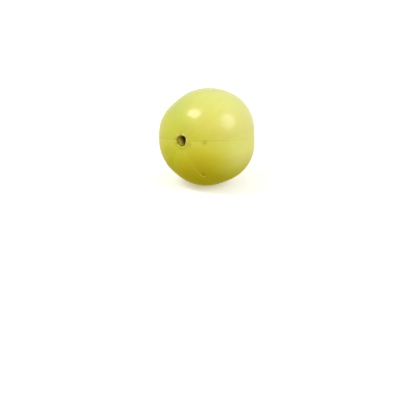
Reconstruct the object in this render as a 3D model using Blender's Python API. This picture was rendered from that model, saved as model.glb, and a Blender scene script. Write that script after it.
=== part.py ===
"""Indian gooseberry, whole and as picked, lying on its side on a small flat spot.

The fruit grew as one piece, so it is one closed solid. Its skin follows one rule: for each direction from
the middle of the fruit, skin_radius says how far away the skin lies. A direction has two angles. The
polar angle is 0 at the stem end and pi at the end where the flower was. The turn goes about the fruit's
own axis. Before the fruit leans, its stem end faces -Y, and the turn is 0 towards +X and a quarter
towards +Z. Then the fruit leans back a little, which lifts the stem end, and the floor is at z = 0.
"""

from math import cos, exp, pi, radians, sin, tanh

import bmesh
import bpy
from mathutils import Matrix, Vector

MM = 0.001

# The smooth body.
EQUATOR_RADIUS = 17.0 * MM  # from the axis to the skin, half way along the fruit
POLE_RADIUS = 15.9 * MM  # from the middle to an end, before the ends sink in
ROUNDNESS = 2.08  # 2 is a plain ellipse, and more gives fuller shoulders

# Six furrows run from end to end. Each is a wide soft valley with a fine crease along its bottom.
FURROW_TURNS = [radians(turn) for turn in (0, 66, 126, 181, 240, 292)]
VALLEY_DEPTHS = [depth * MM for depth in (0.50, 0.24, 0.42, 0.28, 0.28, 0.32)]
VALLEY_HALF_WIDTH = radians(16)
VALLEY_FADE = 1.3  # power of the sine by which the valleys grow shallow towards the ends
CREASE_DEPTH = 0.05 * MM
CREASE_HALF_WIDTH = 0.42 * MM
CREASE_START = 0.20  # polar angle where the creases begin, outside the pit's rim
CREASE_END = 2.86  # and where they die away, short of the flower's dimple
CREASE_RUN_OUT = 0.16  # angle over which they begin and die away

# Slow swells make the fruit uneven: the turn that each faces, its height, and half its width.
SWELLS = [
    (radians(53), 1.08 * MM, radians(33)),
    (radians(176), 0.42 * MM, radians(32)),
    (radians(330), 0.35 * MM, radians(26)),
]

# The stem end: a shallow basin, a corky rim with six low bumps, and the pit that the stalk left. A stump
# of torn stalk fills one side of the pit. Past the stump's straight edge a hole goes deep.
BASIN_DEPTH = 0.55 * MM
BASIN_ANGLE = 0.34
RIM_RADIUS = 2.20 * MM
RIM_HEIGHT = 0.14 * MM
RIM_WIDTH = 0.34 * MM
BUMP_RADIUS = 2.50 * MM
BUMP_HEIGHT = 0.16 * MM
BUMP_WIDTH = 0.42 * MM
BUMP_LENGTH = 0.62 * MM  # half of it, along the rim
PIT_RADIUS = 1.95 * MM
PIT_DEPTH = 0.85 * MM
PIT_WALL = 0.30 * MM  # across the slope of the pit's wall
STUMP_RADIUS = 1.60 * MM
STUMP_HEIGHT = 0.68 * MM
STUMP_WALL = 0.26 * MM
HOLE_RADIUS = 1.80 * MM
HOLE_DEPTH = 2.3 * MM
HOLE_WALL = 0.30 * MM
HOLE_TURN = radians(32)  # the way the hole lies from the stump
STUMP_EDGE = -0.45 * MM  # from the fruit's axis towards the hole, where the stump ends in a straight edge

# The flower end: a small dimple with the dry tip of the flower's style in it.
DIMPLE_DEPTH = 0.40 * MM
DIMPLE_ANGLE = 0.22
TIP_RADIUS = 0.46 * MM
TIP_HEIGHT = 0.34 * MM

# How the fruit lies.
LEAN = radians(13)
LEAN_LINE_TURN = radians(35.4)  # from +X to the level line that it leans back about
LEAN_LINE = Vector((cos(LEAN_LINE_TURN), sin(LEAN_LINE_TURN), 0.0))
LEANING = Matrix.Rotation(-LEAN, 3, LEAN_LINE)
REST_DEPTH = 16.56 * MM  # from the middle of the fruit down to the flat spot

# Spacing of the mesh's rings and columns.
FINE_STEP = 0.17 * MM
COARSE_STEP = 1.5 * MM
STEP_GROWTH = 0.21
STEM_FINE_END = 2.9 * MM  # from the axis at the stem end
TIP_FINE_END = 0.8 * MM  # from the axis at the flower end
COLUMNS_PER_LOBE = 12
COLUMN_CROWDING = 0.6  # 0 spaces the columns evenly, and near 1 crowds them at the furrows

SKIN_COLOUR = (0.62, 0.58, 0.07, 1.0)
SKIN_ROUGHNESS = 0.36


def ridge(distance, width):
    """A smooth rise that is 1 where the distance is 0."""
    return exp(-((distance / width) ** 2))


def inside(distance, width):
    """1 well short of an edge, 0 well past it, and a half on it."""
    return 0.5 - 0.5 * tanh(2 * distance / width)


def body(polar):
    """The smooth body, as a superellipse."""
    across = abs(sin(polar) / EQUATOR_RADIUS) ** ROUNDNESS
    along = abs(cos(polar) / POLE_RADIUS) ** ROUNDNESS
    return (across + along) ** (-1 / ROUNDNESS)


def angle_between(turn, other):
    """Nearly the angle between two turns, and smooth all the way round."""
    return 2 * sin((turn - other) / 2)


def furrows(polar, turn):
    """How far the furrows draw the skin in."""
    girth = sin(polar)
    creased = inside(CREASE_START - polar, CREASE_RUN_OUT) * inside(polar - CREASE_END, CREASE_RUN_OUT)
    depth = 0.0
    for furrow, valley_depth in zip(FURROW_TURNS, VALLEY_DEPTHS):
        aside = angle_between(turn, furrow)
        depth += valley_depth * girth**VALLEY_FADE * ridge(aside, VALLEY_HALF_WIDTH)
        depth += CREASE_DEPTH * creased * ridge(aside * girth * EQUATOR_RADIUS, CREASE_HALF_WIDTH)
    return depth


def swells(polar, turn):
    """How far the slow swells push the skin out."""
    return sum(
        height * sin(polar) ** 2 * ridge(angle_between(turn, middle), width)
        for middle, height, width in SWELLS
    )


def rim_bumps(out, turn):
    """1 on top of each bump of the rim. They stand where the furrows begin."""
    lengths = (ridge(angle_between(turn, furrow) * BUMP_RADIUS, BUMP_LENGTH) for furrow in FURROW_TURNS)
    return ridge(out - BUMP_RADIUS, BUMP_WIDTH) * sum(lengths)


def stem_end(polar, turn):
    """The basin, the rim with its bumps, the pit, the stump of stalk and the hole."""
    out = polar * POLE_RADIUS
    past_edge = out * cos(turn - HOLE_TURN) - STUMP_EDGE
    hole = inside(out - HOLE_RADIUS, HOLE_WALL) * inside(-past_edge, HOLE_WALL)
    return (
        -BASIN_DEPTH * ridge(polar, BASIN_ANGLE)
        + RIM_HEIGHT * ridge(out - RIM_RADIUS, RIM_WIDTH)
        + BUMP_HEIGHT * rim_bumps(out, turn)
        - PIT_DEPTH * inside(out - PIT_RADIUS, PIT_WALL)
        + STUMP_HEIGHT * inside(out - STUMP_RADIUS, STUMP_WALL)
        - HOLE_DEPTH * hole
    )


def flower_end(polar):
    """The dimple and the tip of the style."""
    back = pi - polar
    return -DIMPLE_DEPTH * ridge(back, DIMPLE_ANGLE) + TIP_HEIGHT * ridge(back * POLE_RADIUS, TIP_RADIUS)


def skin_radius(polar, turn):
    """From the middle of the fruit to its skin in one direction."""
    round_part = body(polar) + swells(polar, turn) - furrows(polar, turn)
    return round_part + stem_end(polar, turn) + flower_end(polar)


def skin_point(polar, turn):
    """A point of the skin, with the middle of the fruit at the origin, pressed flat where it rests."""
    radius = skin_radius(polar, turn)
    girth = radius * sin(polar)
    point = LEANING @ Vector((girth * cos(turn), -radius * cos(polar), girth * sin(turn)))
    point.z = max(point.z, -REST_DEPTH)
    return point


def ring_angles():
    """Polar angles of the rings, close together at the two ends and further apart between them."""
    angles = [0.0]
    while angles[-1] < pi:
        past_stem_end = max(0.0, angles[-1] * POLE_RADIUS - STEM_FINE_END)
        before_tip = max(0.0, (pi - angles[-1]) * POLE_RADIUS - TIP_FINE_END)
        step = FINE_STEP + STEP_GROWTH * min(past_stem_end, before_tip)
        angles.append(angles[-1] + min(step, COARSE_STEP) / POLE_RADIUS)
    return [angle * pi / angles[-1] for angle in angles[1:-1]]


def column_turns():
    """Turns of the columns, crowded towards the furrows so that each crease is cut cleanly."""
    turns = []
    for start, end in zip(FURROW_TURNS, FURROW_TURNS[1:] + [2 * pi]):
        for step in range(COLUMNS_PER_LOBE):
            share = step / COLUMNS_PER_LOBE
            crowded = share - COLUMN_CROWDING * sin(2 * pi * share) / (2 * pi)
            turns.append(start + crowded * (end - start))
    return turns


def skin_mesh():
    """The closed skin: rings of points from the stem end to the flower end, with a fan at each end."""
    bm = bmesh.new()
    turns = column_turns()
    stem_pole = bm.verts.new(skin_point(0.0, 0.0))
    rings = [[bm.verts.new(skin_point(polar, turn)) for turn in turns] for polar in ring_angles()]
    flower_pole = bm.verts.new(skin_point(pi, 0.0))
    for i in range(len(turns)):
        j = (i + 1) % len(turns)
        bm.faces.new((stem_pole, rings[0][i], rings[0][j]))
        for near, far in zip(rings, rings[1:]):
            bm.faces.new((near[i], far[i], far[j], near[j]))
        bm.faces.new((flower_pole, rings[-1][j], rings[-1][i]))
    bmesh.ops.recalc_face_normals(bm, faces=bm.faces)
    mesh = bpy.data.meshes.new("fruit")
    bm.to_mesh(mesh)
    bm.free()
    return mesh


def stand_on_origin(mesh):
    """Moves the mesh so that the middle of its underside is at the origin."""
    xs, ys, zs = zip(*(v.co for v in mesh.vertices))
    mesh_foot = Vector(((min(xs) + max(xs)) / 2, (min(ys) + max(ys)) / 2, min(zs)))
    for v in mesh.vertices:
        v.co -= mesh_foot


def skin_material():
    """Waxy, yellow-green skin over pale, watery flesh."""
    material = bpy.data.materials.new("skin")
    material.use_nodes = True
    shader = material.node_tree.nodes["Principled BSDF"]
    shader.inputs["Base Color"].default_value = SKIN_COLOUR
    shader.inputs["Roughness"].default_value = SKIN_ROUGHNESS
    shader.inputs["Metallic"].default_value = 0.0
    material.diffuse_color = SKIN_COLOUR
    return material


def make_fruit():
    """The whole fruit as one object."""
    mesh = skin_mesh()
    stand_on_origin(mesh)
    mesh.shade_smooth()
    mesh.materials.append(skin_material())
    fruit = bpy.data.objects.new("fruit", mesh)
    bpy.context.scene.collection.objects.link(fruit)


for old in list(bpy.data.objects):
    bpy.data.objects.remove(old, do_unlink=True)
make_fruit()
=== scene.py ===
# %% [markdown]
# # An Indian gooseberry
#
# One fruit, picked, lies on its side on a pale floor. Its skin is waxy and a little translucent, drawn in by
# six faint furrows, with a torn scar where the stalk was and a dried tip where the flower was. The packed
# model gives the size and the place of everything. Here the fruit gets a finer skin, its colours and its
# gloss, and then the small dry pieces that stand on it.

# %% Load the frame
from math import cos, pi, radians, sin

import bpy
from mathutils import Matrix, Vector


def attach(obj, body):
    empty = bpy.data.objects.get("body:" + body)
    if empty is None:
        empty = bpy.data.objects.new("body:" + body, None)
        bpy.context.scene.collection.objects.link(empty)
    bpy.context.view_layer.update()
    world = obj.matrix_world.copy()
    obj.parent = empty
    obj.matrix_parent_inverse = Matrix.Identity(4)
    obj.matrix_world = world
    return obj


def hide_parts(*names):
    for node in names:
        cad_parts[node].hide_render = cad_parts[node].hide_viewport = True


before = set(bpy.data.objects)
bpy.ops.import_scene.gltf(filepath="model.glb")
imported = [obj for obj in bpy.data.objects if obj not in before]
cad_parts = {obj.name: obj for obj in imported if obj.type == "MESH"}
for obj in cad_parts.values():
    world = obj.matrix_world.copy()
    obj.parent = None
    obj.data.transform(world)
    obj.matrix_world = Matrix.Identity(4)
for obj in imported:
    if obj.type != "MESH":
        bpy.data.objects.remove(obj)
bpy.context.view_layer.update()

MM = 0.001

# %% [markdown]
# ## Where the middle of the fruit is
#
# Everything on a fruit is easiest to place by direction: how far from the stem end, and how far round. That
# needs the fruit's own axis and its middle. The fruit leans back a little, about a level line, and its axis
# leans with it. The tip of the flower is the solid's furthest point along the axis, so the middle is one
# known length in front of that tip.

# %% The axis, the middle and the main radii
EQUATOR_RADIUS = 17.0 * MM
POLE_RADIUS = 15.9 * MM
ROUNDNESS = 2.08
DIMPLE_DEPTH = 0.40 * MM
SOLID_TIP_HEIGHT = 0.34 * MM
REST_DEPTH = 16.56 * MM
LEAN = radians(13)
LEAN_LINE_TURN = radians(35.4)
LEAN_LINE = Vector((cos(LEAN_LINE_TURN), sin(LEAN_LINE_TURN), 0))
LEANING = Matrix.Rotation(-LEAN, 3, LEAN_LINE)

own_axis = LEANING @ Vector((0, 1, 0))
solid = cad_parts["fruit"]
solid_tip = max((vertex.co for vertex in solid.data.vertices), key=own_axis.dot)
middle = solid_tip - own_axis * (POLE_RADIUS - DIMPLE_DEPTH + SOLID_TIP_HEIGHT)
print("middle of the fruit at", [round(axis / MM, 2) for axis in middle], "mm")
print("its height over the flat spot should be", round(REST_DEPTH / MM, 2), "mm")

# %% [markdown]
# ## Writing node trees as expressions
#
# A node tree is a formula drawn as boxes. Drawn by hand, a rule with a hundred terms is hard to read and to
# change. Here a small class stands for the output of a node, and adding or multiplying two of them adds the
# Math node that does it. The same class serves the shaders and the Geometry Nodes, because Math nodes work
# in both. That matters for this fruit: the furrow that bends the skin and the pale line that colours it
# come from one function.

# %% A wire, and the tree that it belongs to
def onward(operation):
    """A method that puts a Math node on its own wire."""
    return lambda self, *others: self.math(operation, self, *others)


def reflected(operation):
    """The same, where the wire comes second."""
    return lambda self, other: self.math(operation, other, self)


class Wire:
    """One output socket. Arithmetic on it adds Math nodes to its tree."""

    def __init__(self, tree, socket):
        self.tree = tree
        self.socket = socket

    def math(self, operation, *values):
        return self.tree.node("ShaderNodeMath", {"operation": operation}, dict(enumerate(values)))

    __add__, __radd__ = onward("ADD"), reflected("ADD")
    __sub__, __rsub__ = onward("SUBTRACT"), reflected("SUBTRACT")
    __mul__, __rmul__ = onward("MULTIPLY"), reflected("MULTIPLY")
    __truediv__, __pow__, __abs__ = onward("DIVIDE"), onward("POWER"), onward("ABSOLUTE")
    sin, cos, turn_from = onward("SINE"), onward("COSINE"), onward("ARCTAN2")
    exp, tanh = onward("EXPONENT"), onward("TANH")
    sqrt, at_least = onward("SQRT"), onward("MAXIMUM")


class Tree:
    """A shader or Geometry Nodes tree, with Blender's own node tree as its group."""

    def __init__(self, group):
        self.group = group

    def node(self, kind, settings=None, sockets=None, out=0):
        """Adds a node: first its settings, then the value or the link of each socket. Gives one output."""
        node = self.group.nodes.new(kind)
        for name, value in (settings or {}).items():
            if name == "stops":
                fill_ramp(node.color_ramp, value)
            else:
                setattr(node, name, value)
        for key, value in (sockets or {}).items():
            if isinstance(value, Wire):
                self.group.links.new(value.socket, node.inputs[key])
            else:
                node.inputs[key].default_value = value
        return Wire(self, node.outputs[out]) if node.outputs else None

    def vector(self, operation, *values):
        """Vector Math, for what has three parts."""
        return self.node("ShaderNodeVectorMath", {"operation": operation}, dict(enumerate(values)))

    def scale(self, vector, length):
        """A vector made longer or shorter."""
        return self.node("ShaderNodeVectorMath", {"operation": "SCALE"}, {0: vector, 3: length})

    def dot(self, first, second):
        """How far the first vector goes along the second."""
        sockets = {0: first, 1: tuple(second)}
        return self.node("ShaderNodeVectorMath", {"operation": "DOT_PRODUCT"}, sockets, out=1)

    def combine(self, x, y, z):
        """A vector from its three parts."""
        return self.node("ShaderNodeCombineXYZ", None, {0: x, 1: y, 2: z})

    def parts(self, vector):
        """The X, Y and Z of a vector."""
        x = self.node("ShaderNodeSeparateXYZ", None, {0: vector})
        return [Wire(self, socket) for socket in x.socket.node.outputs]

    def mix(self, share, first, second):
        """Two colours mixed, with this share of the second."""
        return self.node("ShaderNodeMix", {"data_type": "RGBA"}, {0: share, 6: first, 7: second}, out=2)

    def noise(self, place, size, detail=2.0):
        """Soft noise about a half, whose blotches are this size."""
        sockets = {"Vector": place, "Scale": 1 / size, "Detail": detail}
        return self.node("ShaderNodeTexNoise", None, sockets)

    def swing(self, place, size, detail=2.0):
        """The same noise, but about 0, and from -1 to 1 at most."""
        return 2 * (self.noise(place, size, detail) - 0.5)


def fill_ramp(ramp, stops):
    """Gives a colour ramp these (place, colour) stops."""
    while len(ramp.elements) < len(stops):
        ramp.elements.new(1.0)
    for element, (place, colour) in zip(ramp.elements, stops):
        element.position = place
        element.color = colour


# %% [markdown]
# ## The rule of the skin
#
# A direction from the middle has two angles. The polar angle is 0 at the stem end and pi at the flower end,
# and the turn goes about the fruit's axis. The skin could be sculpted or displaced by a texture, but a fruit
# is a plain law with small exceptions, so each exception gets its own term: wide valleys with a fine crease
# along each, slow swells between them, and the forms at both ends. Two smooth curves make all of the terms:
# a ridge, and a step from inside an edge to outside it.

# %% Smooth curves
def ridge(distance, width):
    """A smooth rise that is 1 where the distance is 0."""
    share = distance / width
    return (-1 * share * share).exp()


def inside(distance, width):
    """1 well short of an edge, 0 well past it, and a half on it."""
    return 0.5 - 0.5 * (distance * (2 / width)).tanh()


def angle_between(turn, other):
    """Nearly the angle between two turns, and smooth all the way round."""
    return 2 * ((turn - other) / 2).sin()


# %% From a place on the fruit to its two angles, and back
def turned(tree, vector, angle):
    """A vector turned about the level line that the fruit leans back about."""
    sockets = {"Vector": vector, "Axis": tuple(LEAN_LINE), "Angle": angle}
    return tree.node("ShaderNodeVectorRotate", {"rotation_type": "AXIS_ANGLE"}, sockets)


def upright(tree, place):
    """A place on the fruit, measured from its middle, as it was before the fruit leaned."""
    return turned(tree, tree.vector("SUBTRACT", place, tuple(middle)), LEAN)


def direction_of(tree, upright_place):
    """The polar angle and the turn of a place on the upright fruit."""
    x, y, z = tree.parts(upright_place)
    from_axis = (x * x + z * z).sqrt()
    return from_axis.turn_from(-1 * y), z.turn_from(x)


def towards(tree, polar, turn):
    """The way out from the middle of the upright fruit at these angles."""
    girth = polar.sin()
    return tree.combine(girth * turn.cos(), -1 * polar.cos(), girth * turn.sin())


# %% The body, its furrows and its swells
FURROW_TURNS = [radians(turn) for turn in (0, 66, 126, 181, 240, 292)]
LOBES = len(FURROW_TURNS)
VALLEY_DEPTHS = [depth * MM for depth in (0.50, 0.24, 0.42, 0.28, 0.28, 0.32)]
VALLEY_HALF_WIDTH = radians(16)
VALLEY_FADE = 1.3  # power of the sine by which the valleys grow shallow towards the ends
CREASE_DEPTHS = [depth * MM for depth in (0.035, 0.02, 0.03, 0.04, 0.03, 0.05)]
CREASE_HALF_WIDTH = 0.30 * MM
CREASE_START = 0.20
CREASE_END = 2.86
CREASE_RUN_OUT = 0.16
SWELLS = [  # the turn that each faces, its height, and half its width
    (radians(53), 1.08 * MM, radians(33)),
    (radians(176), 0.42 * MM, radians(32)),
    (radians(330), 0.35 * MM, radians(26)),
]


def body(polar):
    """The smooth body, as a superellipse."""
    across = abs(polar.sin() / EQUATOR_RADIUS) ** ROUNDNESS
    along = abs(polar.cos() / POLE_RADIUS) ** ROUNDNESS
    return (across + along) ** (-1 / ROUNDNESS)


def crease_lines(polar, turn, half_width, strengths):
    """A fine line along the bottom of each furrow, as strong as asked for."""
    girth = polar.sin() * EQUATOR_RADIUS
    lines = sum(
        strength * ridge(angle_between(turn, furrow) * girth, half_width)
        for furrow, strength in zip(FURROW_TURNS, strengths)
    )
    starts = inside(CREASE_START - polar, CREASE_RUN_OUT)
    return lines * starts * inside(polar - CREASE_END, CREASE_RUN_OUT)


def valleys(polar, turn):
    """How far the wide valleys draw the skin in."""
    fade = polar.sin().at_least(0) ** VALLEY_FADE
    depths = zip(FURROW_TURNS, VALLEY_DEPTHS)
    return fade * sum(depth * ridge(angle_between(turn, at), VALLEY_HALF_WIDTH) for at, depth in depths)


def swells(polar, turn):
    """How far the slow swells push the skin out."""
    girth = polar.sin()
    rise = sum(height * ridge(angle_between(turn, at), width) for at, height, width in SWELLS)
    return girth * girth * rise


# %% [markdown]
# ## The two ends
#
# Where the stalk broke off there is a shallow basin with a corky rim. Inside the rim is a pit. A stump of
# torn stalk fills one side of the pit, and past the stump's straight edge a hole goes deep into the fruit.
# At the other end the skin only dips, round the dried tip of the flower. A lump of separate meshes would
# show its joins, so these are terms of the same rule, and the mesh's rings crowd together to follow them.

# %% The stem end and the flower end
BASIN_DEPTH = 0.55 * MM
BASIN_ANGLE = 0.34
RIM_RADIUS = 2.20 * MM
RIM_HEIGHT = 0.14 * MM
RIM_WIDTH = 0.34 * MM
BUMP_RADIUS = 2.50 * MM
BUMP_HEIGHT = 0.16 * MM
BUMP_WIDTH = 0.42 * MM
BUMP_LENGTH = 0.62 * MM
PIT_RADIUS = 1.95 * MM
PIT_DEPTH = 0.85 * MM
PIT_WALL = 0.30 * MM
STUMP_RADIUS = 1.60 * MM
STUMP_HEIGHT = 0.68 * MM
STUMP_WALL = 0.26 * MM
HOLE_RADIUS = 1.80 * MM
HOLE_DEPTH = 2.3 * MM
HOLE_WALL = 0.30 * MM
HOLE_TURN = radians(32)  # the way the hole lies from the stump
STUMP_EDGE = -0.45 * MM  # from the axis towards the hole, where the stump ends in a straight edge
EDGE_WAVER = 0.18  # how far the scar's round edges stray, as a share of their radius
WAVER_SIZE = 1.3 * MM
DIMPLE_ANGLE = 0.22


def from_stem_end(tree, polar, turn):
    """The distance from the middle of the scar, wavering as its torn edges do."""
    on_sphere = tree.scale(towards(tree, polar, turn), POLE_RADIUS)
    return polar * POLE_RADIUS * (1 + EDGE_WAVER * tree.swing(on_sphere, WAVER_SIZE, 3.0))


def past_stump_edge(out, turn):
    """How far past the stump's straight edge, towards the hole."""
    return out * (turn - HOLE_TURN).cos() - STUMP_EDGE


def in_hole(out, turn):
    """1 in the half-moon hole beside the stump, and 0 elsewhere."""
    return inside(out - HOLE_RADIUS, HOLE_WALL) * inside(-1 * past_stump_edge(out, turn), HOLE_WALL)


def bumps(out, turn):
    """1 on top of each bump of the rim. They stand where the furrows begin."""
    lengths = (ridge(angle_between(turn, at) * BUMP_RADIUS, BUMP_LENGTH) for at in FURROW_TURNS)
    return ridge(out - BUMP_RADIUS, BUMP_WIDTH) * sum(lengths)


def stem_end(tree, polar, turn):
    """The basin, the rim with its bumps, the pit, the stump of stalk and the hole."""
    out = from_stem_end(tree, polar, turn)
    rim = RIM_HEIGHT * ridge(out - RIM_RADIUS, RIM_WIDTH) + BUMP_HEIGHT * bumps(out, turn)
    pit = PIT_DEPTH * inside(out - PIT_RADIUS, PIT_WALL) + HOLE_DEPTH * in_hole(out, turn)
    stump = STUMP_HEIGHT * inside(out - STUMP_RADIUS, STUMP_WALL)
    return rim + stump - pit - BASIN_DEPTH * ridge(polar, BASIN_ANGLE)


def flower_end(polar):
    """The dimple that the dried tip stands in."""
    return -DIMPLE_DEPTH * ridge(pi - polar, DIMPLE_ANGLE)


# %% An old nick in the skin
NICK = (radians(52), radians(295.5))
NICK_DEPTH = 0.10 * MM
NICK_RADIUS = 0.85 * MM


def from_spot(polar, turn, spot):
    """The distance over the skin from a spot that is given by its two angles."""
    across = angle_between(turn, spot[1]) * polar.sin() * EQUATOR_RADIUS
    along = (polar - spot[0]) * POLE_RADIUS
    return (across * across + along * along).sqrt()


def nick(polar, turn):
    """How far the nick is sunk into the skin."""
    return NICK_DEPTH * ridge(from_spot(polar, turn, NICK), NICK_RADIUS)


# %% [markdown]
# ## The skin's mesh
#
# The mesh is a flat grid, rolled up: its X becomes the turn and its Y the polar angle. A grid keeps the
# columns under control. They run from end to end and crowd together in the furrows, and the rings crowd
# together at both ends. Set Position puts each point at its radius, and Merge by Distance closes the seam
# and the two poles. Noise goes on top of the rule, because nothing that grew is quite smooth: low ripples
# over the whole skin, torn tissue in the pit, and cork on its rim.

# %% Helpers that build a tree and keep its result as a plain mesh
def geometry_tree(name):
    """An empty Geometry Nodes tree with a geometry output."""
    group = bpy.data.node_groups.new(name, "GeometryNodeTree")
    group.interface.new_socket("Geometry", in_out="OUTPUT", socket_type="NodeSocketGeometry")
    return Tree(group)


def title(name):
    """The title of the input for the size with this name."""
    return name.replace("_", " ").capitalize()


def named_inputs(tree, **kinds):
    """Adds named inputs of these kinds to the tree, and gives their wires in the same order."""
    for name, kind in kinds.items():
        tree.group.interface.new_socket(title(name), in_out="INPUT", socket_type="NodeSocket" + kind)
    group_input = tree.group.nodes.new("NodeGroupInput")
    return [Wire(tree, socket) for socket in group_input.outputs[: len(kinds)]]


def end_tree(tree, geometry, material):
    """Ends a tree in Realize Instances and Set Material."""
    realized = tree.node("GeometryNodeRealizeInstances", None, {0: geometry})
    finished = tree.node("GeometryNodeSetMaterial", None, {0: realized, "Material": material})
    tree.node("NodeGroupOutput", None, {0: finished})


def grow(name, tree, **sizes):
    """A plain mesh object, made by the tree with these sizes."""
    piece = bpy.data.objects.new(name, bpy.data.meshes.new(name + "_start"))
    bpy.context.scene.collection.objects.link(piece)
    modifier = piece.modifiers.new("Grow", "NODES")
    modifier.node_group = tree.group
    sockets = {item.name: item.identifier for item in tree.group.interface.items_tree}
    for name_of_size, size in sizes.items():
        modifier[sockets[title(name_of_size)]] = size
    evaluated = piece.evaluated_get(bpy.context.evaluated_depsgraph_get())
    mesh = bpy.data.meshes.new_from_object(evaluated)
    piece.modifiers.remove(modifier)
    piece.data = mesh
    mesh.name = name
    mesh.calc_loop_triangles()
    print(name, "has", len(mesh.loop_triangles), "triangles")
    return piece


# %% The tree that rolls the grid into the fruit
COLUMNS = 342
RINGS = 290
COLUMN_CROWDING = 0.6  # 0 spaces the columns evenly, and near 1 crowds them at the furrows
RING_CROWDING = 0.6  # the same for the rings, at the two ends
STEM_END_BIAS = 1.2  # more than 1 gives the stem end more of the rings
SHIFT_WIDTH = radians(25)
INSET = 0.05 * MM  # keeps the ripples and the specks within the solid's box
RIPPLE_HEIGHT = 0.05 * MM
RIPPLE_SIZE = 6.0 * MM
TORN_HEIGHT = 0.26 * MM
TORN_SIZE = 0.40 * MM
CORKY_HEIGHT = 0.07 * MM
SAME_POINT = 1e-7


def grid_angles(tree):
    """The polar angle and the turn of each point of a grid that is 1 long and 1 wide."""
    across, up, _ = tree.parts(tree.node("GeometryNodeInputPosition"))
    even_turn = (across + 0.5) * (2 * pi)
    turn = even_turn - COLUMN_CROWDING / LOBES * (even_turn * LOBES).sin()
    for lobe, furrow in enumerate(FURROW_TURNS):
        even_furrow = 2 * pi * lobe / LOBES
        turn = turn + (furrow - even_furrow) * ridge(angle_between(even_turn, even_furrow), SHIFT_WIDTH)
    share = (up + 0.5).at_least(0) ** STEM_END_BIAS
    return share * pi - RING_CROWDING / 2 * (share * (2 * pi)).sin(), turn


def skin_tree(material):
    """The grid of the skin, rolled up by the rule."""
    tree = geometry_tree("skin by rule")
    columns, rings, inset, ripple, torn = named_inputs(
        tree, columns="Int", rings="Int", inset="Float", ripple_height="Float", torn_height="Float"
    )
    grid = tree.node("GeometryNodeMeshGrid", None, {0: 1.0, 1: 1.0, 2: columns, 3: rings})
    polar, turn = grid_angles(tree)
    radius = body(polar) + swells(polar, turn) - valleys(polar, turn)
    radius = radius - crease_lines(polar, turn, CREASE_HALF_WIDTH, CREASE_DEPTHS)
    radius = radius + stem_end(tree, polar, turn) + flower_end(polar) - nick(polar, turn) - inset
    outward = towards(tree, polar, turn)
    bare = tree.scale(outward, radius)
    in_pit = inside(polar * POLE_RADIUS - PIT_RADIUS, PIT_WALL)
    on_rim = ridge(polar * POLE_RADIUS - BUMP_RADIUS, 2 * BUMP_WIDTH)
    tissue = (in_pit * torn + on_rim * CORKY_HEIGHT) * tree.swing(bare, TORN_SIZE, 3.0)
    rough = ripple * tree.swing(bare, RIPPLE_SIZE) + tissue
    x, y, z = tree.parts(turned(tree, tree.scale(outward, radius + rough), -LEAN))
    pressed = tree.combine(x, y, z.at_least(-REST_DEPTH))
    placed = tree.vector("ADD", pressed, tuple(middle))
    rolled = tree.node("GeometryNodeSetPosition", None, {0: grid, "Position": placed})
    closed = tree.node("GeometryNodeMergeByDistance", None, {0: rolled, "Distance": SAME_POINT})
    outside = tree.node("GeometryNodeFlipFaces", None, {0: closed})
    smooth = tree.node("GeometryNodeSetShadeSmooth", None, {0: outside})
    end_tree(tree, smooth, material)
    return tree


# %% [markdown]
# ## The finish of the skin
#
# The skin is thin and waxy over pale, watery flesh, so light goes a few millimetres in and comes out yellow
# and green. Subsurface scattering gives that glow, with blue light travelling least. A plain colour would
# look like plastic, so the base colour follows what grew: broad patches that drift between green and ochre,
# fine veins that run from end to end under the skin, a green shoulder and a riper belly. Over that, the
# upper side and a patch low on the right are painted paler, a painted sheen of the lamps and the white room
# on the wax. A pale line runs along each furrow, and tiny dots show where the skin breathes. The same
# measures as in the rule place every mark.

# %% Colours are written as they look on a screen
def colour(red, green, blue):
    """A linear colour from screen values between 0 and 255."""
    shares = [channel / 255 for channel in (red, green, blue)]
    return tuple(s / 12.92 if s <= 0.04045 else ((s + 0.055) / 1.055) ** 2.4 for s in shares) + (1.0,)


def new_material(name, roughness):
    """An empty material: its tree, and its Principled BSDF."""
    material = bpy.data.materials.new(name)
    material.use_nodes = True
    shader = material.node_tree.nodes["Principled BSDF"]
    shader.inputs["Roughness"].default_value = roughness
    return material, Tree(material.node_tree), shader


def feed(tree, shader, **wires):
    """Links wires to the shader's sockets."""
    for name, wire in wires.items():
        tree.group.links.new(wire.socket, shader.inputs[name.replace("_", " ")])


def step_up(tree, value, start, end):
    """0 before the start, 1 past the end, and smooth between them."""
    sockets = {0: value, 1: start, 2: end}
    return tree.node("ShaderNodeMapRange", {"interpolation_type": "SMOOTHSTEP"}, sockets)


# %% The drift of the skin's colour, and the veins under it
YELLOW_GREEN = colour(208, 209, 30)
OCHRE = colour(212, 204, 30)
LEAF_GREEN = colour(194, 204, 26)
VEIN_PALE = colour(220, 217, 84)
PATCH_SIZE = 9.0 * MM
PATCH_EDGES = (0.40, 0.62)  # where on the noise a patch begins, and where its colour is full
BLOTCH_SIZE = 5.0 * MM
BLOTCH_EDGES = (0.50, 0.72)
BLOTCH_SHARE = 0.35
VEIN_STRETCH = 0.35  # less than 1 draws the veins out from end to end
STREAK_WIDTH = 0.16
STREAK_EDGES = (0.45, 0.75)
STREAK_SHARE = 0.30
VEIN_SPACING = 0.22
VEIN_WIDTH = 0.012
VEIN_SHARE = 0.20


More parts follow.
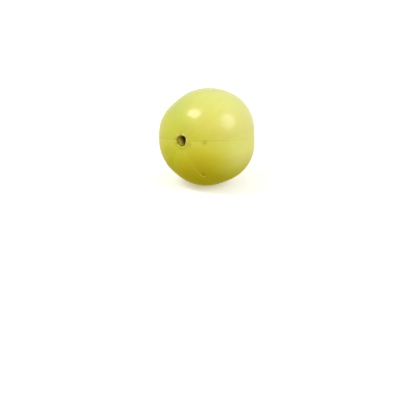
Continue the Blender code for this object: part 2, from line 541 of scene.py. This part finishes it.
def mottled(tree, place, polar, turn):
    """Patches of green and ochre, with pale streaks and fine veins from end to end."""
    patch = step_up(tree, tree.noise(place, PATCH_SIZE, 1.0), *PATCH_EDGES)
    skin = tree.mix(patch, YELLOW_GREEN, OCHRE)
    blotch = step_up(tree, tree.noise(place, BLOTCH_SIZE), *BLOTCH_EDGES)
    skin = tree.mix(BLOTCH_SHARE * blotch, skin, LEAF_GREEN)
    along = tree.combine(turn.cos(), polar * VEIN_STRETCH, turn.sin())
    streak = step_up(tree, tree.noise(along, STREAK_WIDTH, 3.0), *STREAK_EDGES)
    skin = tree.mix(STREAK_SHARE * streak, skin, VEIN_PALE)
    vein = ridge(tree.noise(along, VEIN_SPACING) - 0.5, VEIN_WIDTH)
    return tree.mix(VEIN_SHARE * vein, skin, VEIN_PALE)


# %% The green shoulder, the ripe belly and the painted pale sheen
SHOULDER_GREEN = colour(180, 207, 26)
BELLY_OCHRE = colour(222, 200, 46)
SHEEN_PALE = colour(228, 228, 176)
GREEN_SHOULDER = ((radians(48), radians(114)), 7.0 * MM, 0.45)  # its place, its radius and its share
RIPE_BELLY = ((radians(38), radians(315)), 7.0 * MM, 0.50)
# a patch of painted sheen, low on the right
PALE_SHEEN_SIDE = ((radians(82), radians(337)), 6.5 * MM, 0.32)
SHEEN_SHARE = 0.45
# the painted sheen is palest on the side that faces this way, up and towards the lamps
SHEEN_SIDE = Vector((0.44, 0.45, 0.775))
SHEEN_STARTS = -8.0 * MM
SHEEN_FULL = 18.0 * MM


def patch_share(polar, turn, spot, radius, most):
    """How much of a soft round patch's colour shows here."""
    return most * ridge(from_spot(polar, turn, spot), radius)


def ripened_and_sheened(tree, skin, place, polar, turn):
    """The colour, greener on one shoulder, riper on the belly, and paler with the painted sheen."""
    skin = tree.mix(patch_share(polar, turn, *GREEN_SHOULDER), skin, SHOULDER_GREEN)
    skin = tree.mix(patch_share(polar, turn, *RIPE_BELLY), skin, BELLY_OCHRE)
    # painted sheen: the side towards the lamps and the bright room is painted paler
    painted_sheen = SHEEN_SHARE * step_up(tree, tree.dot(place, SHEEN_SIDE), SHEEN_STARTS, SHEEN_FULL)
    return tree.mix(painted_sheen + patch_share(polar, turn, *PALE_SHEEN_SIDE), skin, SHEEN_PALE)


# %% The lines along the furrows, an old tear, and the pores
FURROW_PALE = colour(232, 224, 130)
TEAR_PALE = colour(230, 228, 72)
DOT_PALE = colour(226, 220, 140)
LINE_HALF_WIDTH = 0.20 * MM
LINE_STRENGTHS = (0.15, 0.08, 0.10, 0.14, 0.10, 0.10)
LINE_BREAKS = 4.0 * MM
BREAK_EDGES = (0.40, 0.60)
FAINTEST_SHARE = 0.25
TEAR_TURN = FURROW_TURNS[-1]
TEAR_POLAR = radians(43)
TEAR_LENGTH = radians(9)
TEAR_HALF_WIDTH = 0.26 * MM
TEAR_STRENGTH = 0.75
DOT_SPACING = 1.7 * MM
DOT_EDGES = (0.05, 0.10)
DOT_SHARE = 0.45


def lined(tree, skin, place, polar, turn):
    """The skin's colour with a broken line along each furrow, and the pale tear."""
    whole = step_up(tree, tree.noise(place, LINE_BREAKS), *BREAK_EDGES)
    lines = crease_lines(polar, turn, LINE_HALF_WIDTH, LINE_STRENGTHS)
    skin = tree.mix((FAINTEST_SHARE + (1 - FAINTEST_SHARE) * whole) * lines, skin, FURROW_PALE)
    beside = angle_between(turn, TEAR_TURN) * polar.sin() * EQUATOR_RADIUS
    tear = TEAR_STRENGTH * ridge(beside, TEAR_HALF_WIDTH) * ridge(polar - TEAR_POLAR, TEAR_LENGTH)
    return tree.mix(tear, skin, TEAR_PALE)


def dotted(tree, skin, place):
    """The skin's colour with its pores."""
    from_pore = tree.node("ShaderNodeTexVoronoi", None, {"Vector": place, "Scale": 1 / DOT_SPACING})
    dot = 1 - step_up(tree, from_pore, *DOT_EDGES)
    return tree.mix(DOT_SHARE * dot, skin, DOT_PALE)


# %% The colours of the scar, with painted shade round it and in its hole
GROOVE_OLIVE = colour(160, 148, 12)
STUMP_TAN = colour(206, 196, 58)
STUMP_OLIVE = colour(150, 140, 12)
EDGE_PALE = colour(234, 226, 118)
# near black: the torn tissue's own brown, and painted shade of the deep hole
HOLE_BROWN_AND_SHADE = colour(66, 42, 0)
RIM_TAN = colour(214, 194, 132)
BUMP_PALE_AND_HIGHLIGHT = colour(226, 220, 108)
# painted shade: a darker olive ring round the scar
SCAR_SHADE_OLIVE = colour(178, 174, 52)
SCAR_SHADE_RADIUS = 3.0 * MM
SCAR_SHADE_FADE = 0.9 * MM
SCAR_SHADE_SHARE = 0.40
TISSUE_SIZE = 0.30 * MM
RAGGEDNESS = 0.25 * MM  # how far the torn tissue shifts the edges between the colours
RIM_SHARE = 0.05
PALE_RIM_TURN = radians(22)
PALE_RIM_LENGTH = radians(50)
PALE_RIM_SHARE = 0.80
CORK_LEAST = 0.6
CORK_MOTTLE = 0.8
BUMP_SHARE = 0.50
GROOVE_FADE = 0.18 * MM
STUMP_FADE = 0.2 * MM
TISSUE_EDGES = (0.35, 0.65)
EDGE_WIDTH = 0.30 * MM
EDGE_SHARE = 0.7


def scarred(tree, skin, place, polar, turn):
    """The skin's colour with the scar of the stalk painted over it, from a ring of painted shade inwards."""
    out = from_stem_end(tree, polar, turn)
    torn = tree.noise(place, TISSUE_SIZE, 3.0)
    ragged = out + RAGGEDNESS * (torn - 0.5)
    # a ring of painted shade, darker olive, round the scar
    skin = tree.mix(SCAR_SHADE_SHARE * inside(ragged - SCAR_SHADE_RADIUS, SCAR_SHADE_FADE), skin, SCAR_SHADE_OLIVE)
    corky = RIM_SHARE + PALE_RIM_SHARE * ridge(angle_between(turn, PALE_RIM_TURN), PALE_RIM_LENGTH)
    corky = corky * (CORK_LEAST + CORK_MOTTLE * torn)
    skin = tree.mix(corky * ridge(ragged - RIM_RADIUS, RIM_WIDTH), skin, RIM_TAN)
    # the rim's bumps painted paler: partly their pale cork, partly a painted highlight of the lit bumps
    skin = tree.mix(BUMP_SHARE * bumps(ragged, turn), skin, BUMP_PALE_AND_HIGHLIGHT)
    skin = tree.mix(inside(ragged - PIT_RADIUS, GROOVE_FADE), skin, GROOVE_OLIVE)
    stump = tree.mix(step_up(tree, torn, *TISSUE_EDGES), STUMP_OLIVE, STUMP_TAN)
    straight_edge = ridge(past_stump_edge(out, turn) + EDGE_WIDTH, EDGE_WIDTH)
    stump = tree.mix(EDGE_SHARE * straight_edge, stump, EDGE_PALE)
    skin = tree.mix(inside(ragged - STUMP_RADIUS, STUMP_FADE), skin, stump)
    # the hole painted near black, partly its own brown and partly painted shade
    return tree.mix(in_hole(ragged, turn), skin, HOLE_BROWN_AND_SHADE)


# %% The flower end's stain, small blemishes, and painted shade beside the scar
STAIN_BROWN = colour(150, 128, 44)
STAIN_RADIUS = 0.75 * MM
STAIN_FADE = 0.5 * MM
STAIN_SHARE = 0.8
NICK_BROWN = colour(150, 136, 8)
NICK_STAIN = (NICK, 0.70 * MM, 0.55)
BLEMISH_AND_SHADE_OLIVE = colour(152, 146, 22)
BLEMISHES_AND_SHADES = [  # the place, the radius and the share of each
    ((radians(32), radians(358)), 0.85 * MM, 0.50),
    # painted shade in the groove on the left of the scar
    ((radians(8.5), radians(167)), 0.50 * MM, 0.55),
    # painted shade of a dimple beside the scar's rim
    ((radians(12.6), radians(342)), 0.90 * MM, 0.38),
    ((radians(66), radians(88)), 0.30 * MM, 0.25),
    ((radians(100), radians(215)), 0.40 * MM, 0.45),
    ((radians(128), radians(20)), 0.30 * MM, 0.40),
    ((radians(75), radians(150)), 0.25 * MM, 0.35),
]


def stained_and_shaded(tree, skin, polar, turn):
    """The skin's colour with stains of age and knocks, and two patches of painted shade by the scar."""
    back = (pi - polar) * POLE_RADIUS
    skin = tree.mix(STAIN_SHARE * inside(back - STAIN_RADIUS, STAIN_FADE), skin, STAIN_BROWN)
    # stains, and beside the scar two patches of painted shade
    for dark_patch in BLEMISHES_AND_SHADES:
        skin = tree.mix(patch_share(polar, turn, *dark_patch), skin, BLEMISH_AND_SHADE_OLIVE)
    return tree.mix(patch_share(polar, turn, *NICK_STAIN), skin, NICK_BROWN)


# %% The gloss, the grain and the whole material
WAX_ROUGHNESS = 0.44
WAX_UNEVENNESS = 0.12
WAX_PATCH = 2.2 * MM
SCAR_ROUGHNESS = 0.45  # what torn tissue and cork add to the wax's own
WAX_COAT = 0.6
COAT_ROUGHNESS = 0.18
GLOW_DEPTH = 3.0 * MM
GLOW_COLOURS = (1.0, 0.85, 0.25)
GLOW_SHARE = 0.6
GRAIN_SIZE = 0.35 * MM
GRAIN_HEIGHT = 0.010 * MM


def skin_material():
    """Waxy, translucent skin, with the scar."""
    material, tree, shader = new_material("gooseberry_skin", WAX_ROUGHNESS)
    shader.inputs["Subsurface Weight"].default_value = GLOW_SHARE
    shader.inputs["Subsurface Radius"].default_value = GLOW_COLOURS
    shader.inputs["Subsurface Scale"].default_value = GLOW_DEPTH
    shader.inputs["Coat Roughness"].default_value = COAT_ROUGHNESS
    place = upright(tree, tree.node("ShaderNodeTexCoord", out="Object"))
    polar, turn = direction_of(tree, place)
    skin = ripened_and_sheened(tree, mottled(tree, place, polar, turn), place, polar, turn)
    skin = dotted(tree, lined(tree, skin, place, polar, turn), place)
    skin = stained_and_shaded(tree, scarred(tree, skin, place, polar, turn), polar, turn)
    in_scar = inside(polar * POLE_RADIUS - BUMP_RADIUS, PIT_WALL)
    wax = WAX_ROUGHNESS + WAX_UNEVENNESS * tree.noise(place, WAX_PATCH, 3.0)
    rough = wax + in_scar * SCAR_ROUGHNESS
    coat = WAX_COAT * (1 - in_scar)
    grain = tree.noise(place, GRAIN_SIZE, 3.0)
    bump = tree.node("ShaderNodeBump", None, {"Distance": GRAIN_HEIGHT, "Height": grain})
    feed(tree, shader, Base_Color=skin, Roughness=rough, Coat_Weight=coat, Normal=bump)
    return material


skin = grow(
    "fruit_skin",
    skin_tree(skin_material()),
    columns=COLUMNS + 1,
    rings=RINGS,
    inset=INSET,
    ripple_height=RIPPLE_HEIGHT,
    torn_height=TORN_HEIGHT,
)


# %% Is the skin closed, and does it face outwards?
def volume_inside(mesh):
    """The volume that a closed mesh holds, which is negative if it is inside out."""
    corners = [[mesh.vertices[index].co for index in triangle.vertices] for triangle in mesh.loop_triangles]
    return sum(a.dot(b.cross(c)) for a, b, c in corners) / 6


faces_at = {}
for polygon in skin.data.polygons:
    for edge in polygon.edge_keys:
        faces_at[edge] = faces_at.get(edge, 0) + 1
print("edges without two faces:", sum(count != 2 for count in faces_at.values()))
print("volume of the skin", round(volume_inside(skin.data) / MM**3 / 1000, 2), "cm3")

# %% [markdown]
# ## The torn fibres of the stalk
#
# The stalk didn't break cleanly. Its fibres stand up from the stump like a worn brush, each a little bent
# and of its own length. A bump map would leave the stump flat in a side view, and a hundred cones placed by
# hand would look planted. Points scattered over the stump's own faces, with a least distance between them,
# crowd and thin out as the real ones do, and a cone goes on each.

# %% The colour of dry stalk
FIBRE_TAN = colour(212, 202, 66)
FIBRE_BROWN = colour(158, 148, 16)
STALK_ROUGHNESS = 0.75
MOTTLE_SIZE = 0.25 * MM
MOTTLE_EDGES = (0.35, 0.65)


def stalk_material(name, pale, dark):
    """Dry, matt stalk tissue, mottled between two colours."""
    material, tree, shader = new_material(name, STALK_ROUGHNESS)
    place = tree.node("ShaderNodeTexCoord", out="Object")
    mottle = step_up(tree, tree.noise(place, MOTTLE_SIZE, 3.0), *MOTTLE_EDGES)
    feed(tree, shader, Base_Color=tree.mix(mottle, dark, pale))
    return material


# %% Scattering small pieces, tipping them and roughening them
def scattered(tree, share, spacing, per_square_mm, seed):
    """Points on the finished skin, as thick as asked for where the share is 1, and their rotations."""
    ground = tree.node("GeometryNodeObjectInfo", None, {0: skin}, out="Geometry")
    sockets = {
        "Mesh": ground,
        "Distance Min": spacing,
        "Density Max": per_square_mm / MM**2,
        "Density Factor": share,
        "Seed": seed,
    }
    points = tree.node("GeometryNodeDistributePointsOnFaces", {"distribute_method": "POISSON"}, sockets)
    return points, Wire(tree, points.socket.node.outputs["Rotation"])


def between(tree, low, high, seed):
    """A random number for each point."""
    return tree.node("FunctionNodeRandomValue", None, {2: low, 3: high, "Seed": seed}, out=1)


def tilted(tree, rotation, most, seed):
    """Rotations tipped at random by up to this angle."""
    low, high = (-most, -most, -pi), (most, most, pi)
    sockets = {0: low, 1: high, "Seed": seed}
    angles = tree.node("FunctionNodeRandomValue", {"data_type": "FLOAT_VECTOR"}, sockets)
    tip = tree.node("FunctionNodeEulerToRotation", None, {0: angles})
    return tree.node("FunctionNodeRotateRotation", {"rotation_space": "LOCAL"}, {0: rotation, 1: tip})


def roughened(tree, geometry, height, size):
    """Every point moved at random, but with its neighbours."""
    place = tree.node("GeometryNodeInputPosition")
    wave = tree.node("ShaderNodeTexNoise", None, {"Vector": place, "Scale": 1 / size}, out="Color")
    move = tree.scale(tree.vector("SUBTRACT", wave, (0.5, 0.5, 0.5)), 2 * height)
    return tree.node("GeometryNodeSetPosition", None, {0: geometry, "Offset": move})


# %% The brush of fibres on the stump
FIBRE_SEED = 4
FIBRE_SPACING = 0.12 * MM
FIBRES_PER_SQUARE_MM = 60
FIBRES_REACH = 0.92 * STUMP_RADIUS
REACH_FADE = 0.1 * MM
ON_STUMP_EDGES = (0.5, 0.7)
FIBRE_LENGTH = 0.24 * MM
FIBRE_THICKNESS = 0.20 * MM
FIBRE_TOP = 0.3  # the radius of its top, as a share of its thickness
FIBRE_SIDES = 6
FIBRE_SEGMENTS = 3
FIBRE_TILT = 0.60
FIBRE_SCALES = (0.35, 1.15)
FIBRE_BEND = 0.125 * MM
BEND_SIZE = 0.5 * MM


def fibre_tree(material):
    """Bent cones on the stump."""
    tree = geometry_tree("torn fibres")
    length, thickness, spacing = named_inputs(tree, length="Float", thickness="Float", spacing="Float")
    polar, turn = direction_of(tree, upright(tree, tree.node("GeometryNodeInputPosition")))
    out = from_stem_end(tree, polar, turn)
    share = inside(out - FIBRES_REACH, REACH_FADE) * (1 - in_hole(out, turn))
    on_stump = step_up(tree, share, *ON_STUMP_EDGES)
    points, rotation = scattered(tree, on_stump, spacing, FIBRES_PER_SQUARE_MM, FIBRE_SEED)
    sockets = {"Vertices": FIBRE_SIDES, "Side Segments": FIBRE_SEGMENTS, "Depth": length}
    sockets |= {"Radius Top": thickness * FIBRE_TOP, "Radius Bottom": thickness / 2}
    cone = tree.node("GeometryNodeMeshCone", None, sockets)
    sockets = {
        "Points": points,
        "Instance": cone,
        "Rotation": tilted(tree, rotation, FIBRE_TILT, FIBRE_SEED + 1),
        "Scale": between(tree, *FIBRE_SCALES, FIBRE_SEED + 2),
    }
    brush = tree.node("GeometryNodeInstanceOnPoints", None, sockets)
    realized = tree.node("GeometryNodeRealizeInstances", None, {0: brush})
    bent = roughened(tree, realized, FIBRE_BEND, BEND_SIZE)
    end_tree(tree, tree.node("GeometryNodeSetShadeSmooth", None, {0: bent}), material)
    return tree


fibres = grow(
    "stump_fibres",
    fibre_tree(stalk_material("torn_stalk", FIBRE_TAN, FIBRE_BROWN)),
    length=FIBRE_LENGTH,
    thickness=FIBRE_THICKNESS,
    spacing=FIBRE_SPACING,
)

# %% [markdown]
# ## The dried tip of the flower, and the corky lip of the nick
#
# Both are small dry forms that sit on the skin at one known place. They could be modelled point by point,
# but each is a curve with a round profile that thins towards an end. So each is drawn about the origin and
# then laid on the skin. The tip is three short branches, curled back as they dried, on a low cushion. The
# lip is an arc of cork that grew round a nick.

# %% Laying a drawing on the skin
def skin_spot(polar, turn):
    """The skin's point in this direction, and the turn that lays a drawing's Z along the way out."""
    way = LEANING @ Vector((sin(polar) * cos(turn), -cos(polar), sin(polar) * sin(turn)))
    round_way = LEANING @ Vector((-sin(turn), 0, cos(turn)))
    spot = max(skin.data.vertices, key=lambda vertex: (vertex.co - middle).normalized().dot(way))
    across = (round_way - spot.normal * round_way.dot(spot.normal)).normalized()
    axes = Matrix((across, spot.normal.cross(across), spot.normal)).transposed()
    return spot.co, axes.to_euler()


def rope(tree, curve, thickness, scale, sides):
    """A curve given a round profile, thick or thin by the scale."""
    profile = tree.node("GeometryNodeCurvePrimitiveCircle", None, {0: sides, "Radius": thickness / 2})
    sockets = {"Curve": curve, "Profile Curve": profile, "Scale": scale, "Fill Caps": True}
    return tree.node("GeometryNodeCurveToMesh", None, sockets)


# %% The dried tip
TIP_SEED = 11
BRANCHES = 3
BRANCH_LENGTH = 0.44 * MM
BRANCH_THICKNESS = 0.15 * MM
BRANCH_SIDES = 7
BRANCH_POINTS = 10
BRANCH_START = (0.02 * MM, 0.0, 0.0)
BRANCH_KNEE = (0.30, 0.0, 0.75)  # as shares of its length
BRANCH_END = (1.0, 0.15, 0.22)  # as shares of its length
BRANCH_TAPER = 0.55
BRANCH_SCALES = (0.8, 1.1)
BRANCH_STRAY = 0.5
ROOTS_RADIUS = 0.04 * MM
CUSHION_RADIUS = 0.30 * MM
CUSHION_HEIGHT = 0.10 * MM
TIP_ROUGHENING = (0.03 * MM, 0.15 * MM)  # its height and its size


def tip_tree(material):
    """Curled branches on a cushion, laid in the dimple."""
    tree = geometry_tree("dried tip")
    length, thickness = named_inputs(tree, length="Float", thickness="Float")
    sockets = {"Resolution": BRANCH_POINTS, "Start": BRANCH_START}
    sockets |= {"Middle": tree.scale(BRANCH_KNEE, length), "End": tree.scale(BRANCH_END, length)}
    curve = tree.node("GeometryNodeCurveQuadraticBezier", None, sockets)
    along = tree.node("GeometryNodeSplineParameter")
    branch = rope(tree, curve, thickness, 1 - BRANCH_TAPER * along, BRANCH_SIDES)
    roots = tree.node("GeometryNodeMeshCircle", None, {"Vertices": BRANCHES, "Radius": ROOTS_RADIUS})
    number = tree.node("GeometryNodeInputIndex")
    around = number * (2 * pi / BRANCHES) + between(tree, -BRANCH_STRAY, BRANCH_STRAY, TIP_SEED)
    rotation = tree.node("FunctionNodeEulerToRotation", None, {0: tree.combine(0.0, 0.0, around)})
    sockets = {"Points": roots, "Instance": branch, "Rotation": rotation}
    sockets |= {"Scale": between(tree, *BRANCH_SCALES, TIP_SEED + 1)}
    branches = tree.node("GeometryNodeInstanceOnPoints", None, sockets)
    ball = tree.node("GeometryNodeMeshIcoSphere", None, {"Radius": 1.0, "Subdivisions": 3})
    flat = (CUSHION_RADIUS, CUSHION_RADIUS, CUSHION_HEIGHT)
    cushion = tree.node("GeometryNodeTransform", None, {0: ball, "Scale": flat})
    both = tree.node("GeometryNodeJoinGeometry", None, {0: branches})
    tree.group.links.new(cushion.socket, both.socket.node.inputs[0])
    spot, rotation = skin_spot(pi, 0.0)
    laid = tree.node("GeometryNodeTransform", None, {0: both, "Translation": spot, "Rotation": rotation})
    realized = tree.node("GeometryNodeRealizeInstances", None, {0: laid})
    rough = roughened(tree, realized, *TIP_ROUGHENING)
    end_tree(tree, tree.node("GeometryNodeSetShadeSmooth", None, {0: rough}), material)
    return tree


TIP_PALE = colour(120, 88, 44)
TIP_DARK = colour(54, 34, 14)
tip = grow(
    "style_tip",
    tip_tree(stalk_material("dried_flower", TIP_PALE, TIP_DARK)),
    length=BRANCH_LENGTH,
    thickness=BRANCH_THICKNESS,
)

# %% The lip of the nick
LIP_RADIUS = 1.02 * MM
LIP_SWEEP = radians(215)
LIP_OPENS = radians(25)
LIP_THICKNESS = 0.56 * MM
LIP_END_SHARE = 0.15  # how thick its ends are beside its middle
LIP_FLATNESS = 0.38
LIP_POINTS = 44
LIP_SIDES = 12
LIP_ROUGHENING = (0.07 * MM, 0.24 * MM)


def lip_tree(material):
    """An arc of cork, thick in its middle, laid round the nick."""
    tree = geometry_tree("corky lip")
    radius, thickness = named_inputs(tree, radius="Float", thickness="Float")
    start = LIP_OPENS + pi - LIP_SWEEP / 2
    sockets = {"Resolution": LIP_POINTS, "Radius": radius, "Start Angle": start, "Sweep Angle": LIP_SWEEP}
    arc = tree.node("GeometryNodeCurveArc", {"mode": "RADIUS"}, sockets)
    along = tree.node("GeometryNodeSplineParameter")
    thick = LIP_END_SHARE + (1 - LIP_END_SHARE) * (along * pi).sin()
    lip = rope(tree, arc, thickness, thick, LIP_SIDES)
    spot, rotation = skin_spot(*NICK)
    sockets = {0: lip, "Translation": spot, "Rotation": rotation, "Scale": (1, 1, LIP_FLATNESS)}
    laid = tree.node("GeometryNodeTransform", None, sockets)
    rough = roughened(tree, laid, *LIP_ROUGHENING)
    end_tree(tree, tree.node("GeometryNodeSetShadeSmooth", None, {0: rough}), material)
    return tree


LIP_PALE = colour(236, 232, 92)
LIP_DARK = colour(216, 208, 64)
lip = grow(
    "nick_lip",
    lip_tree(stalk_material("healed_cork", LIP_PALE, LIP_DARK)),
    radius=LIP_RADIUS,
    thickness=LIP_THICKNESS,
)

# %% [markdown]
# ## Corky specks
#
# The skin breathes through pores, and some of them heal over as tiny raised specks of cork. They are as fine
# as dust from a step away, but close up they tell that the surface grew. They could be a bump texture, yet a
# real dome catches the light on one side and can be seen at the outline.

# %% Specks all over the skin, clear of the scar and of the floor
SPECK_SEED = 7
SPECK_SPACING = 2.0 * MM
SPECKS_PER_SQUARE_MM = 0.06
SPECK_RADIUS = 0.13 * MM
SPECK_FLATNESS = 0.22
CLEAR_OF_FLOOR = 0.8 * MM
CLEAR_OF_SCAR = 3.6 * MM
CLEAR_FADE = 0.5 * MM
SPECK_SCALES = (0.5, 1.2)


def speck_tree(material):
    """Flat domes, scattered over the skin."""
    tree = geometry_tree("corky specks")
    radius, spacing = named_inputs(tree, radius="Float", spacing="Float")
    place = tree.node("GeometryNodeInputPosition")
    polar, _ = direction_of(tree, upright(tree, place))
    clear = step_up(tree, tree.parts(place)[2], CLEAR_OF_FLOOR, 2 * CLEAR_OF_FLOOR)
    clear = clear * (1 - inside(polar * POLE_RADIUS - CLEAR_OF_SCAR, CLEAR_FADE))
    points, rotation = scattered(tree, clear, spacing, SPECKS_PER_SQUARE_MM, SPECK_SEED)
    ball = tree.node("GeometryNodeMeshIcoSphere", None, {"Radius": radius, "Subdivisions": 2})
    dome = tree.node("GeometryNodeTransform", None, {0: ball, "Scale": (1, 1, SPECK_FLATNESS)})
    size = between(tree, *SPECK_SCALES, SPECK_SEED + 1)
    sockets = {"Points": points, "Instance": dome, "Rotation": rotation, "Scale": size}
    specks = tree.node("GeometryNodeInstanceOnPoints", None, sockets)
    realized = tree.node("GeometryNodeRealizeInstances", None, {0: specks})
    end_tree(tree, tree.node("GeometryNodeSetShadeSmooth", None, {0: realized}), material)
    return tree


SPECK_PALE = colour(222, 216, 96)
SPECK_DARK = colour(198, 190, 62)
specks = grow(
    "skin_specks",
    speck_tree(stalk_material("speck_cork", SPECK_PALE, SPECK_DARK)),
    radius=SPECK_RADIUS,
    spacing=SPECK_SPACING,
)

# %% [markdown]
# ## The studio
#
# The room is white at the height of the eye and a little grey overhead, and two soft lamps hang in front of
# the fruit, a small one high on the left and a larger one on the right. A waxy skin mirrors them as two
# glints, the second softer. From below, the room is a dim olive. The floor is hidden from the fruit, so that
# this olive lights its underside and keeps it warm, where a white floor would turn it pale.

# %% Camera
VIEW_AZIMUTH = radians(35.4)
VIEW_ELEVATION = radians(20.8)
SENSOR = 36.0  # in whole millimetres, as the camera's lens is
DISTANCE = 600 * MM
IMAGE_SIZE = 400
FRUIT_IN_IMAGE = (207.1, 137.3)
PIXEL = 0.3483 * MM

towards_camera = Vector(
    (
        sin(VIEW_AZIMUTH) * cos(VIEW_ELEVATION),
        -cos(VIEW_AZIMUTH) * cos(VIEW_ELEVATION),
        sin(VIEW_ELEVATION),
    )
)
camera_right = Vector((cos(VIEW_AZIMUTH), sin(VIEW_AZIMUTH), 0))
camera_up = towards_camera.cross(camera_right)


def in_room(right, up, near):
    """A direction given as the camera sees it, turned into the room's own axes."""
    return camera_right * right + camera_up * up + towards_camera * near


camera_data = bpy.data.cameras.new("camera")
camera_data.sensor_width = SENSOR
camera_data.lens = SENSOR * DISTANCE / (IMAGE_SIZE * PIXEL)
camera_data.clip_start = 10 * MM
camera_data.clip_end = 20.0
camera = bpy.data.objects.new("camera", camera_data)
bpy.context.scene.collection.objects.link(camera)
aside = (IMAGE_SIZE / 2 - FRUIT_IN_IMAGE[0]) * PIXEL
below = (FRUIT_IN_IMAGE[1] - IMAGE_SIZE / 2) * PIXEL
camera.location = middle + in_room(aside, below, DISTANCE)
camera.rotation_mode = "QUATERNION"
camera.rotation_quaternion = towards_camera.to_track_quat("Z", "Y")
bpy.context.scene.camera = camera
print("lens", round(camera_data.lens, 1), "mm")


# %% Floor
FLOOR_HALF = 6.0
PAPER_WHITE = (0.93, 0.93, 0.93, 1)
PAPER_ROUGHNESS = 0.6
PAPER_SHEEN = 0.2
PAPER_GLOW = 0.25


def make_floor():
    """A wide white floor, which the camera sees and the fruit doesn't."""
    mesh = bpy.data.meshes.new("studio_floor")
    corners = [(x * FLOOR_HALF, y * FLOOR_HALF, 0) for x, y in ((-1, -1), (1, -1), (1, 1), (-1, 1))]
    mesh.from_pydata(corners, [], [(0, 1, 2, 3)])
    floor = bpy.data.objects.new("studio_floor", mesh)
    bpy.context.scene.collection.objects.link(floor)
    material, tree, shader = new_material("white_paper", PAPER_ROUGHNESS)
    shader.inputs["Base Color"].default_value = PAPER_WHITE
    shader.inputs["Specular IOR Level"].default_value = PAPER_SHEEN
    shader.inputs["Emission Color"].default_value = (1, 1, 1, 1)
    shader.inputs["Emission Strength"].default_value = PAPER_GLOW
    mesh.materials.append(material)
    floor.visible_diffuse = False
    floor.visible_glossy = False


make_floor()


# %% Light
LAMP_DISTANCE = 0.9


def soft_lamp(name, direction, width, power):
    """A round soft lamp that faces the fruit."""
    data = bpy.data.lights.new(name, "AREA")
    data.shape = "DISK"
    data.size = width
    data.energy = power
    lamp = bpy.data.objects.new(name, data)
    lamp.location = middle + direction.normalized() * LAMP_DISTANCE
    lamp.rotation_mode = "QUATERNION"
    lamp.rotation_quaternion = direction.to_track_quat("Z", "Y")
    bpy.context.scene.collection.objects.link(lamp)


soft_lamp("left_lamp", in_room(-0.61, 0.68, 0.41), width=0.36, power=2.9)
soft_lamp("right_lamp", in_room(0.72, 0.36, 0.59), width=0.60, power=3.5)

# %% The white room
ROOM_UP = in_room(0.0, 1.0, 0.17).normalized()
ROOM_SHADES = [  # from below to above, nearly as the camera sees them
    (0.0, (0.26, 0.20, 0.01, 1)),
    (0.25, (0.50, 0.42, 0.05, 1)),
    (0.40, (0.90, 0.84, 0.50, 1)),
    (0.50, (1.0, 1.0, 1.0, 1)),
    (0.65, (0.86, 0.86, 0.86, 1)),
    (1.0, (0.52, 0.52, 0.52, 1)),
]

world = bpy.data.worlds.new("white_room")
world.use_nodes = True
bpy.context.scene.world = world
room = Tree(world.node_tree)
height = room.dot(room.node("ShaderNodeTexCoord", out="Generated"), ROOM_UP)
ramp = room.node("ShaderNodeValToRGB", {"stops": ROOM_SHADES}, {0: height * 0.5 + 0.5})
world.node_tree.links.new(ramp.socket, world.node_tree.nodes["Background"].inputs["Color"])
bpy.context.scene.view_settings.view_transform = "Standard"

# %% [markdown]
# ## Every piece rides on the fruit
#
# The fruit has no moving part, so all of its pieces ride on one body.

# %% Ride and replace
for piece in (skin, fibres, tip, lip, specks):
    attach(piece, "root")
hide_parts("fruit")
